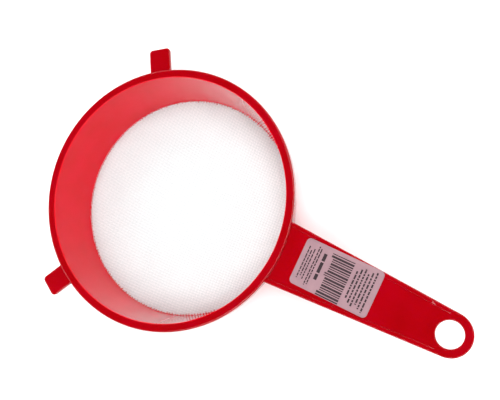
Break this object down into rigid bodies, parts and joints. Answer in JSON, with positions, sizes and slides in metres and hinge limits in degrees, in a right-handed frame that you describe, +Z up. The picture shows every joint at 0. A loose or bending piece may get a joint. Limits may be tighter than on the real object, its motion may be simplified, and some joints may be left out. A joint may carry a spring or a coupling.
{
  "type": "hand sieve",
  "caption": "Round hand sieve for sifting flour: a tapered bowl with a flanged rim, a woven screen across its foot, rest tabs and a flat handle with a hanging hole.",
  "frame": {"origin": "centre of the bounding box, at the underside of the foot", "axes": "+Z up, out of the bowl's mouth; +X along the handle, from the bowl to the hanging hole"},
  "size_m": [0.2728, 0.17, 0.04],
  "materials": {
    "red_plastic": "glossy injection-moulded polypropylene",
    "white_nylon": "plain-woven white nylon monofilament",
    "label_paper": "matt self-adhesive paper"
  },
  "bodies": {
    "root": {"bowl": "red_plastic", "foot_ring": "red_plastic", "handle": "red_plastic", "rest_tab_left": "red_plastic", "rest_tab_right": "red_plastic", "mesh_screen": "white_nylon", "product_label": "label_paper"}
  },
  "joints": []
}
